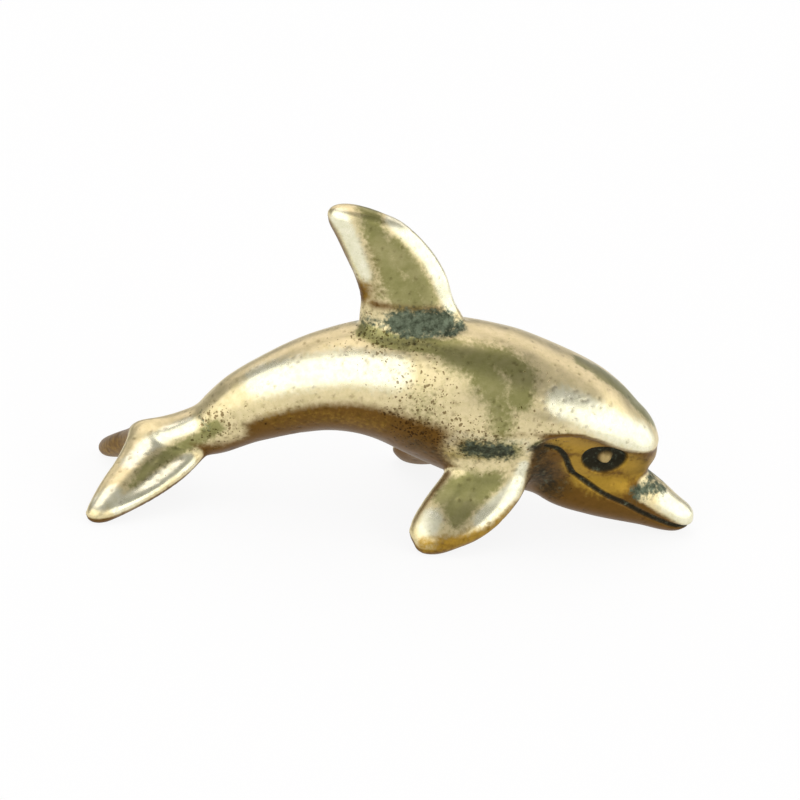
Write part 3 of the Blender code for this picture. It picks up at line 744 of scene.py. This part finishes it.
def worked(co, lines):
    """How strongly those lines reach each point."""
    right = on_right_side(co)
    total = np.zeros(len(co))
    for reach, strength, line in lines:
        away = near_line(right, line) / reach
        total = np.maximum(total, strength * np.exp(-(away**2) * LINE_FADE))
    return total


def face_under_brow(co):
    """1 on the face under the brow and on the beak's sides and jaw, 0 above."""
    x, z = co[:, 0], co[:, 2]
    brow = np.interp(x, *np.transpose(BROW))
    edge = np.interp(x, *np.transpose(BEAK_EDGE))
    under = smoothstep(0.25, -0.25, z - brow) * smoothstep(9.6, 10.8, x)
    beak_top = smoothstep(-0.2, 0.3, z - edge) * smoothstep(5.8, 5.0, z) * smoothstep(19.5, 20.3, x)
    return under * (1 - beak_top)


def fill_roots(mesh, shape):
    """Fills the corners at the roots of the fins and flukes, as wax is smoothed into them by hand."""
    co, normals, edges = mesh_arrays(mesh)
    filled = smoothed(co, edges, passes_over(shape.root_fillet, shape))
    lift = np.einsum("ij,ij->i", filled - co, normals)
    share = np.minimum(1, worked(co, ROOT_FILLETS) * ROOT_FILL)
    co = co + normals * (np.maximum(lift, 0) * share)[:, None]
    set_coordinates(mesh, smoothed(co, edges, ROOT_PASSES))


def carve_face(mesh, shape):
    """Works the mouth groove, the eye sockets and the eyes into the skin, and returns where they are."""
    surface_mesh = bmesh.new()
    surface_mesh.from_mesh(mesh)
    surface = BVHTree.FromBMesh(surface_mesh)
    surface_mesh.free()
    mouth = mouth_points(surface, shape)
    eyes = [eye_frame(surface, shape, side) for side in (-1, 1)]
    half = shape.socket_length / 2
    eye_lines = [[point - along * half, point + along * half] for point, along, _, _ in eyes]
    refine_near(mesh, [mouth], shape.groove_radius * GROOVE_FINE)
    refine_near(mesh, eye_lines, shape.socket_height * SOCKET_FINE)
    co, normals, _ = mesh_arrays(mesh)
    recess = np.zeros(len(co))
    beads = np.zeros(len(co))
    near = near_line(co, mouth)
    radius = shape.groove_radius
    groove = np.clip(1 - (near / (radius * GROOVE_MOUTH)) ** 2, 0, 1) ** 1.2
    co = co - normals * (groove * radius * GROOVE_DEPTH)[:, None]
    recess = np.maximum(recess, smoothstep(0.25, 0.95, groove))
    for point, along, across, outwards in eyes:
        away = co - np.array(point)
        u = away @ np.array(along) / half
        v = away @ np.array(across) / (shape.socket_height / 2)
        out = away @ np.array(outwards)
        # The socket is a rounded lens, and this is 1 on its rim
        lens = np.abs(u) ** 1.9 + np.abs(v) ** 1.8
        inside = (lens < 1.25) & (np.abs(out) < shape.socket_height)
        hollow = np.where(inside, smoothstep(1.12, 0.55, lens), 0)
        bead_u = away @ np.array(along) - shape.bead_ahead
        bead_v = away @ np.array(across)
        ball = np.hypot(bead_u, bead_v) / shape.bead_radius
        bead = np.sqrt(np.clip(1 - ball**2, 0, 1)) * inside
        lift = -hollow * shape.socket_depth + bead * shape.bead_radius * BEAD_RISE
        co = co + np.array(outwards) * lift[:, None]
        recess = np.maximum(recess, smoothstep(0.1, 0.7, hollow) * smoothstep(0.85, 1.1, ball))
        beads = np.maximum(beads, smoothstep(1.05, 0.8, ball) * inside)
    set_coordinates(mesh, co)
    return recess, beads


def store(mesh, name, values):
    layer = mesh.attributes.new(name, "FLOAT", "POINT")
    layer.data.foreach_set("value", np.asarray(values, np.float32))


class DOLPHIN_OT_casting(bpy.types.Operator):
    """Melt the dolphin's skins into one casting and carve its face"""

    bl_idname = "dolphin.casting"
    bl_label = "Cast the Dolphin"

    def execute(self, context):
        shape = context.scene.dolphin_shape
        skins = bmesh.new()
        add_body(skins, shape)
        add_beak(skins, shape)
        add_fins(skins, shape)
        mesh = bpy.data.meshes.new("antique_brass_dolphin")
        skins.to_mesh(mesh)
        skins.free()
        casting = new_object("antique_brass_dolphin", mesh)
        melt = casting.modifiers.new("melt_skins", "REMESH")
        melt.mode = "VOXEL"
        melt.voxel_size = shape.skin_grain
        apply_modifiers(casting)
        co, _, edges = mesh_arrays(casting.data)
        set_coordinates(casting.data, smoothed(co, edges, passes_over(shape.fillet_radius, shape)))
        recess, beads = carve_face(casting.data, shape)
        co, normals, _ = mesh_arrays(casting.data)
        co[:, 0] -= (co[:, 0].min() + co[:, 0].max()) / 2
        co -= normals * (face_under_brow(co) * shape.brow_step)[:, None]
        set_coordinates(casting.data, co)
        fill_roots(casting.data, shape)
        store(casting.data, "recess", recess)
        store(casting.data, "bead", beads)
        return {"FINISHED"}


class Workbench:
    """Puts nodes on one tree and joins them."""

    def __init__(self, tree):
        self.nodes, self.links = tree.nodes, tree.links

    def feed(self, slot, value):
        """Joins a socket to the slot, or sets the slot to a value."""
        if isinstance(value, bpy.types.NodeSocket):
            self.links.new(value, slot)
        else:
            slot.default_value = value

    def node(self, kind, inputs=None, **settings):
        made = self.nodes.new(kind)
        for key, value in settings.items():
            setattr(made, key, value)
        for slot, value in (inputs or {}).items():
            self.feed(made.inputs[slot], value)
        return made

    def math_node(self, operation, *values, clamp=False):
        inputs = dict(enumerate(values))
        return self.node("ShaderNodeMath", inputs, operation=operation, use_clamp=clamp).outputs[0]

    def spread(self, value, low, high, to_low=0.0, to_high=1.0):
        """The value, eased from one range to the other."""
        inputs = {"Value": value, "From Min": low, "From Max": high, "To Min": to_low, "To Max": to_high}
        return self.node("ShaderNodeMapRange", inputs, interpolation_type="SMOOTHSTEP").outputs["Result"]


def finish_tree():
    """Ripples of the file and the polishing wheel, and casting pits strewn over the skin."""
    tree = bpy.data.node_groups.new("hand_finish", "GeometryNodeTree")
    face = tree.interface
    face.new_socket("Geometry", in_out="INPUT", socket_type="NodeSocketGeometry")
    for name in ("Ripple Depth", "Ripple Size", "Pit Radius", "Pit Depth"):
        face.new_socket(name, in_out="INPUT", socket_type="NodeSocketFloat")
    for name in ("Pits", "Seed"):
        face.new_socket(name, in_out="INPUT", socket_type="NodeSocketInt")
    face.new_socket("Brass", in_out="INPUT", socket_type="NodeSocketMaterial")
    face.new_socket("Geometry", in_out="OUTPUT", socket_type="NodeSocketGeometry")
    bench = Workbench(tree)
    node, math_node = bench.node, bench.math_node
    given = node("NodeGroupInput").outputs
    skin = given["Geometry"]
    position = node("GeometryNodeInputPosition").outputs[0]
    normal = node("GeometryNodeInputNormal").outputs[0]
    fineness = math_node("DIVIDE", 1.0, given["Ripple Size"])
    waves = node("ShaderNodeTexNoise", {"Detail": 1.0, "Vector": position, "Scale": fineness})
    ripple = math_node("SUBTRACT", waves.outputs["Fac"], 0.5)
    ripple = math_node("MULTIPLY", ripple, given["Ripple Depth"])
    ripple = math_node("MULTIPLY", ripple, 2.0)

    # The pits are strewn by their map, so many over the whole skin
    pitting = node("GeometryNodeInputNamedAttribute", {"Name": "pitting"}, data_type="FLOAT")
    pitting = pitting.outputs["Attribute"]
    pitted_area = math_node("MULTIPLY", node("GeometryNodeInputMeshFaceArea").outputs[0], pitting)
    area = node("GeometryNodeAttributeStatistic", {"Geometry": skin, "Attribute": pitted_area},
                data_type="FLOAT", domain="FACE")
    density = math_node("MULTIPLY", pitting, given["Pits"])
    density = math_node("DIVIDE", density, math_node("MAXIMUM", area.outputs["Sum"], 0.001))
    strewn = node("GeometryNodeDistributePointsOnFaces",
                  {"Mesh": skin, "Seed": given["Seed"], "Density": density}, distribute_method="RANDOM")

    near = node("GeometryNodeProximity", {0: strewn.outputs["Points"]}, target_element="POINTS")
    share = math_node("DIVIDE", near.outputs["Distance"], given["Pit Radius"])
    size = node("ShaderNodeTexNoise", {"Scale": 1.3, "Vector": position}).outputs["Fac"]
    share = math_node("DIVIDE", share, math_node("MULTIPLY", size, 2.0))
    pit = bench.spread(share, 0.35, 1.0, 1.0, 0.0)
    sunk = math_node("MULTIPLY", pit, given["Pit Depth"])
    keep = node("GeometryNodeStoreNamedAttribute", {"Geometry": skin, "Name": "pit", "Value": pit},
                data_type="FLOAT", domain="POINT")
    push = node("ShaderNodeVectorMath", {0: normal, "Scale": math_node("SUBTRACT", ripple, sunk)},
                operation="SCALE")
    moved = node("GeometryNodeSetPosition", {"Geometry": keep.outputs[0], "Offset": push.outputs[0]})
    real = node("GeometryNodeRealizeInstances", {0: moved.outputs[0]})
    dressed = node("GeometryNodeSetMaterial", {"Geometry": real.outputs[0], "Material": given["Brass"]})
    node("NodeGroupOutput", {0: dressed.outputs[0]})
    return tree


def pitting_map(co):
    """How thickly the casting pits gather at each point."""
    total = np.full(len(co), EVEN_PITTING)
    for centre, reach, weight in PITTING:
        away = np.linalg.norm(on_right_side(co) - np.array(centre), axis=1)
        total += weight * np.exp(-(away / reach) ** 2)
    return total


def film_maps(co, normals, edges):
    """How much painted highlight, painted reflection, painted shade, patina and blackening each point keeps.
    """
    hollow = np.einsum("ij,ij->i", smoothed(co, edges, HOLLOW_PASSES) - co, normals)
    # Where there is no painted highlight
    kept = 1 - worked(co, PAINTED_HIGHLIGHTS)
    # Painted shade on faces turned downwards, and beside them on the rims
    under = np.maximum(smoothstep(0.1, -0.28, normals[:, 2]), worked(co, BROWN_PAINTED_SHADE))
    # The face under the brow takes painted shade
    face = face_under_brow(co)
    # Painted shade along the left fluke, with a painted warm reflection in it
    left_fluke_shade = smoothstep(2.3, 1.2, near_line(co, LEFT_FLUKE_PAINTED_SHADE))
    # Painted highlight, painted dark reflection, painted shade and painted warm reflection, then patina,
    # blackening with painted shade, and the pits
    return {
        "painted_highlight": worked(co, PAINTED_HIGHLIGHTS) * (1 - face),
        "painted_dark_reflection": worked(co, OLIVE_PAINTED_REFLECTION) * kept,
        "painted_shade": np.maximum.reduce([under * kept * (1 - worked(co, SHADE_LIFTED)), face, left_fluke_shade]),
        "painted_warm_reflection": np.maximum.reduce([worked(co, OCHRE_FACE_REFLECTION) * face, worked(co, OCHRE_RIM_REFLECTIONS), left_fluke_shade * 0.4]),
        "patina": np.maximum(worked(co, DARK_PATINA), smoothstep(0.06, 0.25, hollow) * 0.7),
        "soot_and_painted_shade": worked(co, SOOT_AND_PAINTED_SHADE),
        "pitting": pitting_map(co),
    }


def shaded(rgb, share):
    return tuple(c * share for c in rgb)


def brass_material(finish):
    """Brass under its painted highlights, painted reflections and painted shade, then dirt, patina and
    blackening, in the order in which they were laid.
    """
    material = bpy.data.materials.new("antique_brass")
    material.use_nodes = True
    bench = Workbench(material.node_tree)
    node, math_node, spread = bench.node, bench.math_node, bench.spread
    shader = bench.nodes["Principled BSDF"].inputs

    def read(name):
        return node("ShaderNodeAttribute", attribute_name=name).outputs["Fac"]

    def noise(size, detail=2.0, roughness=0.5, output="Fac"):
        inputs = {"Scale": 1 / (size * MM), "Detail": detail, "Roughness": roughness, "Vector": place}
        return node("ShaderNodeTexNoise", inputs).outputs[output]

    def speckles(cell, largest, crowding):
        """Dots of uneven size, of which more show where they crowd."""
        cells = node("ShaderNodeTexVoronoi", {"Scale": 1 / (cell * MM), "Vector": ragged_place}).outputs
        chance = node("ShaderNodeSeparateColor", {0: cells["Color"]}).outputs[0]
        rarity = math_node("SUBTRACT", 1.0, math_node("MULTIPLY", crowding, 0.55, clamp=True))
        excess = math_node("SUBTRACT", chance, rarity)
        width = math_node("MULTIPLY", math_node("MULTIPLY", excess, 2.5, clamp=True), largest)
        return spread(math_node("SUBTRACT", width, cells["Distance"]), -0.02, 0.12)

    def blend(share, under_colour, over_colour, way="MIX"):
        made = node("ShaderNodeMix", {"Factor": share}, data_type="RGBA", blend_type=way)
        slots = [slot for slot in made.inputs if slot.type == "RGBA"]
        for slot, value in zip(slots, (under_colour, over_colour)):
            bench.feed(slot, value if isinstance(value, bpy.types.NodeSocket) else (*value, 1))
        return [slot for slot in made.outputs if slot.type == "RGBA"][0]

    place = node("ShaderNodeTexCoord").outputs["Object"]
    inputs = {0: noise(0.3, output="Color"), 1: (0.35 * MM,) * 3, 2: place}
    ragged_place = node("ShaderNodeVectorMath", inputs, operation="MULTIPLY_ADD").outputs[0]
    cloud = noise(2.2)
    grain = noise(0.35, 3.0, 0.6)
    mottle = noise(0.6, 5.0, 0.75)
    fine = noise(0.12)

    def film(name, breaking, low, high):
        """A film or a painted mark that starts at low and is full at high, its edge broken by the grain of
        the casting.
        """
        uneven = math_node("MULTIPLY", math_node("SUBTRACT", grain, 0.5), breaking)
        return spread(math_node("ADD", read(name), uneven), low, high)

    gather = math_node("MULTIPLY", read("pitting"), spread(cloud, 0.3, 0.6, 0.5, 1.0))
    specks = math_node("MAXIMUM", speckles(0.36, 0.42, gather), speckles(0.21, 0.42, gather))

    # Painted highlight, painted dark reflection, painted shade and painted warm reflection, then patina, and
    # blackening with painted shade
    painted_highlight = film("painted_highlight", 0.5, 0.2, 0.75)
    painted_dark_reflection = math_node("MULTIPLY", film("painted_dark_reflection", 1.1, 0.12, 0.8), spread(cloud, 0.3, 0.6, 0.8, 1.0))
    painted_shade = film("painted_shade", 0.4, 0.1, 0.9)
    painted_warm_reflection = film("painted_warm_reflection", 0.9, 0.15, 0.9)
    patina = film("patina", 1.2, 0.2, 0.7)
    soot_and_painted_shade = math_node("MAXIMUM", read("recess"), film("soot_and_painted_shade", 0.9, 0.05, 1.0))
    pits = math_node("MULTIPLY", read("pit"), spread(grain, 0.35, 0.6, 0.0, 0.6))
    dirt = math_node("MULTIPLY", math_node("MAXIMUM", pits, specks), 0.9, clamp=True)

    colour = blend(spread(cloud, 0.3, 0.7), shaded(finish.brass, 0.93), finish.brass)
    # Painted highlight, painted dark reflection, painted shade and painted warm reflection are laid over the
    # brass
    colour = blend(painted_highlight, colour, finish.painted_highlight)
    colour = blend(painted_dark_reflection, colour, finish.painted_dark_reflection)
    colour = blend(painted_shade, colour, finish.painted_shade)
    colour = blend(painted_warm_reflection, colour, finish.painted_warm_reflection)
    colour = blend(dirt, colour, finish.dirt, "MULTIPLY")
    aged = blend(spread(mottle, 0.3, 0.7), shaded(finish.patina, 0.5), shaded(finish.patina, 1.8))
    colour = blend(patina, colour, aged)
    # Blackening of the mouth and the eyes, with painted shade behind the cheek and along the roots
    soot_and_shade_colour = blend(spread(mottle, 0.5, 0.8), finish.soot_and_painted_shade, shaded(finish.patina, 1.5))
    colour = blend(soot_and_painted_shade, colour, soot_and_shade_colour)
    colour = blend(read("bead"), colour, finish.bead)
    mottling = blend(spread(mottle, 0.25, 0.75), MOTTLED_SHADE, (1, 1, 1))
    colour = blend(1.0, colour, mottling, "MULTIPLY")
    bench.feed(shader["Base Color"], colour)

    shader["Metallic"].default_value = 1.0
    dull = math_node("MAXIMUM", patina, soot_and_painted_shade)
    rough = math_node("ADD", spread(cloud, 0.25, 0.75, 0.28, 0.38), math_node("MULTIPLY", dull, 0.25))
    rough = math_node("ADD", rough, math_node("MULTIPLY", painted_shade, 0.08))
    rough = math_node("SUBTRACT", rough, math_node("MULTIPLY", painted_highlight, 0.05))
    rough = math_node("ADD", rough, math_node("MULTIPLY", read("bead"), 0.25))
    bench.feed(shader["Roughness"], rough)

    relief = math_node("SUBTRACT", math_node("MULTIPLY", fine, 0.12), specks)
    bump = node("ShaderNodeBump", {"Strength": 0.5, "Distance": 0.03 * MM, "Height": relief})
    bench.feed(shader["Normal"], bump.outputs["Normal"])
    return material


class DOLPHIN_OT_finish(bpy.types.Operator):
    """File, polish and age the casting, paint in its highlights, reflections and shade, and stand it on its
    filed feet
    """

    bl_idname = "dolphin.finish"
    bl_label = "Finish the Casting"

    def execute(self, context):
        finish = context.scene.dolphin_finish
        casting = bpy.data.objects["antique_brass_dolphin"]
        co, normals, edges = mesh_arrays(casting.data)
        for name, values in film_maps(co, normals, edges).items():
            store(casting.data, name, values)
        step = casting.modifiers.new("hand_finish", "NODES")
        step.node_group = finish_tree()
        values = {
            "Ripple Depth": finish.ripple_depth,
            "Ripple Size": finish.ripple_size,
            "Pit Radius": finish.pit_radius,
            "Pit Depth": finish.pit_depth,
            "Pits": finish.pit_count,
            "Seed": finish.seed,
            "Brass": brass_material(finish),
        }
        for item in step.node_group.interface.items_tree:
            if item.in_out == "INPUT" and item.name in values:
                step[item.identifier] = values[item.name]
        apply_modifiers(casting)
        mesh = casting.data
        co, _, _ = mesh_arrays(mesh)
        co[:, :2] -= (co[:, :2].min(0) + co[:, :2].max(0)) / 2
        # The feet stand on the table, and no ripple reaches past the CAD casting's box
        set_coordinates(mesh, np.clip(co * MM, *CAD_BOX))
        mesh.shade_smooth()
        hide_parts(CASTING_NODE)
        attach(casting, "root")
        return {"FINISHED"}


def floor_material():
    """Pale floor that looks white to the eye and in reflections, and keeps the figurine's shadow."""
    material = bpy.data.materials.new("pale_floor")
    material.use_nodes = True
    bench = Workbench(material.node_tree)
    bench.nodes.clear()
    paint = bench.node("ShaderNodeBsdfDiffuse", {"Color": FLOOR_PAINT}).outputs[0]
    glow = bench.node("ShaderNodeEmission", {"Color": (1, 1, 1, 1), "Strength": 1.0}).outputs[0]
    path = bench.node("ShaderNodeLightPath").outputs
    seen = bench.math_node("MAXIMUM", path["Is Camera Ray"], path["Is Glossy Ray"])
    seen = bench.math_node("MAXIMUM", seen, path["Is Transmission Ray"])
    glowing = bench.math_node("MULTIPLY", seen, WHITE_GLOW)
    mix = bench.node("ShaderNodeMixShader", {0: glowing, 1: paint, 2: glow}).outputs[0]
    bench.node("ShaderNodeOutputMaterial", {"Surface": mix})
    return material


def soft_lamp(name, azimuth, elevation, spread_angles, brightness, colour):
    """A soft window that faces the figurine, as wide and high as those angles seen from it."""
    width, height = (2 * WINDOW_DISTANCE * math.tan(math.radians(angle) / 2) for angle in spread_angles)
    lamp = bpy.data.lights.new(name, "AREA")
    lamp.shape = "RECTANGLE"
    lamp.size, lamp.size_y = width, height
    lamp.energy = brightness * width * height * math.pi
    lamp.color = colour
    made = new_object(name, lamp)
    a, e = math.radians(azimuth), math.radians(elevation)
    towards = Vector((math.cos(a) * math.cos(e), math.sin(a) * math.cos(e), math.sin(e)))
    made.location = towards * WINDOW_DISTANCE
    made.rotation_euler = towards.to_track_quat("Z", "Y").to_euler()


class DOLPHIN_OT_stage(bpy.types.Operator):
    """Set up the pale floor, the soft lamps and the camera"""

    bl_idname = "dolphin.stage"
    bl_label = "Set the Stage"

    def execute(self, context):
        stage, scene = context.scene.dolphin_stage, context.scene
        mesh = bpy.data.meshes.new("floor")
        plane = bmesh.new()
        bmesh.ops.create_grid(plane, x_segments=8, y_segments=8, size=stage.floor_size / 2)
        plane.to_mesh(mesh)
        plane.free()
        mesh.materials.append(floor_material())
        new_object("floor", mesh)

        world = bpy.data.worlds.new("studio")
        world.use_nodes = True
        background = world.node_tree.nodes["Background"].inputs
        background["Color"].default_value = ROOM_LIGHT
        background["Strength"].default_value = 1.0
        scene.world = world
        for name, window in WINDOWS.items():
            soft_lamp(name, *window)

        a, e = stage.camera_turn, stage.camera_rise
        right = Vector((math.cos(a), math.sin(a), 0))
        up = Vector((-math.sin(a) * math.sin(e), math.cos(a) * math.sin(e), math.cos(e)))
        back = Vector((math.sin(a) * math.cos(e), -math.cos(a) * math.cos(e), math.sin(e)))
        turn = Matrix((right, up, back)).transposed() @ Matrix.Rotation(stage.camera_roll, 3, "Z")
        looked_at = Vector(LOOKED_AT) * MM
        camera = bpy.data.cameras.new("camera")
        camera.sensor_width = 36
        camera.lens = PIXELS_PER_MM * 1000 * stage.camera_distance / PICTURE_WIDTH * camera.sensor_width
        camera.clip_start = 0.01
        camera.clip_end = 20
        made = new_object("camera", camera)
        made.matrix_world = Matrix.Translation(looked_at + back * stage.camera_distance) @ turn.to_4x4()
        scene.camera = made
        scene.view_settings.view_transform = "Standard"
        return {"FINISHED"}


class VIEW3D_PT_dolphin(bpy.types.Panel):
    """Builds the brass dolphin step by step"""

    bl_label = "Brass Dolphin"
    bl_category = "Dolphin"
    bl_space_type = "VIEW_3D"
    bl_region_type = "UI"

    def draw(self, context):
        layout = self.layout
        for operator in OPERATORS:
            layout.operator(operator.bl_idname)
        for group in (context.scene.dolphin_shape, context.scene.dolphin_finish, context.scene.dolphin_stage):
            box = layout.box()
            for name in group.__annotations__:
                box.prop(group, name)


OPERATORS = (DOLPHIN_OT_casting, DOLPHIN_OT_finish, DOLPHIN_OT_stage)
CLASSES = (DolphinShape, DolphinFinish, DolphinStage, *OPERATORS, VIEW3D_PT_dolphin)


def register():
    for one in CLASSES:
        bpy.utils.register_class(one)
    bpy.types.Scene.dolphin_shape = bpy.props.PointerProperty(type=DolphinShape)
    bpy.types.Scene.dolphin_finish = bpy.props.PointerProperty(type=DolphinFinish)
    bpy.types.Scene.dolphin_stage = bpy.props.PointerProperty(type=DolphinStage)


def unregister():
    for name in ("dolphin_shape", "dolphin_finish", "dolphin_stage"):
        delattr(bpy.types.Scene, name)
    for one in reversed(CLASSES):
        bpy.utils.unregister_class(one)


def main():
    register()
    bpy.ops.dolphin.casting()
    bpy.ops.dolphin.finish()
    bpy.ops.dolphin.stage()


if __name__ == "__main__":
    main()
